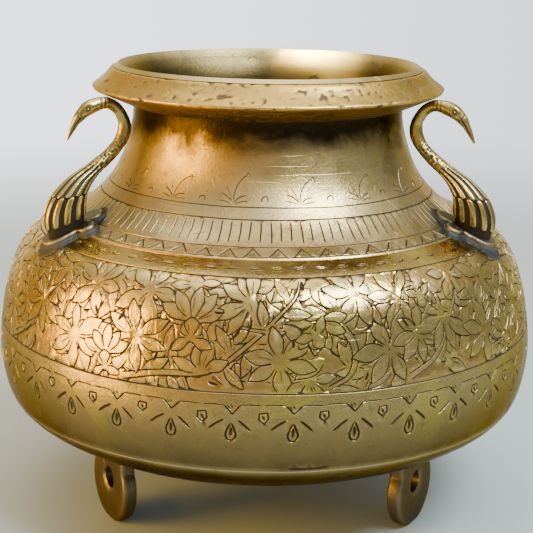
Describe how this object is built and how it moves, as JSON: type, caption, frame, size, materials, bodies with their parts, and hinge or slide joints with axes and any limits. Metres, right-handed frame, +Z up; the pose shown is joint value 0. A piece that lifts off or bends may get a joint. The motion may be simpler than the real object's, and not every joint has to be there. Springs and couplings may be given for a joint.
{
  "type": "footed brass bowl",
  "caption": "Round-bellied engraved brass pot with a flared collar round its mouth, swan-neck handles on the shoulder and cast loop feet, for holding water or plants.",
  "frame": {"origin": "centre of the bounding box's base: the pot's axis where it meets the surface the feet stand on", "axes": "+Z up along the pot's axis; the side with two handles towards the viewer faces -Y, with the left and right handles towards -X and +X"},
  "size_m": [0.1989, 0.199, 0.1648],
  "materials": {
    "pot_brass": "hand-engraved, tarnished olive gold with warm worn highlights",
    "neck_brass": "lightly engraved, tarnished brown gold",
    "collar_brass": "pitted cast face, worn bright at its edge",
    "cast_brass": "yellow casting with black patina in its grooves",
    "plate_brass": "dull casting with worn edges",
    "soft_solder": "dull grey solder",
    "foot_brass": "dull grey-brown casting",
    "braze": "dark dull braze"
  },
  "bodies": {
    "root": {"base_pan": "pot_brass", "belly_shell": "pot_brass", "neck_shell": "neck_brass", "rim_collar": "collar_brass", "swan_left": "cast_brass", "swan_right": "cast_brass", "swan_back": "cast_brass", "plate_left": "plate_brass", "plate_right": "plate_brass", "plate_back": "plate_brass", "solder_left": "soft_solder", "solder_right": "soft_solder", "solder_back": "soft_solder", "foot_left": "foot_brass", "foot_right": "foot_brass", "foot_back": "foot_brass", "braze_left": "braze", "braze_right": "braze", "braze_back": "braze"}
  },
  "joints": []
}
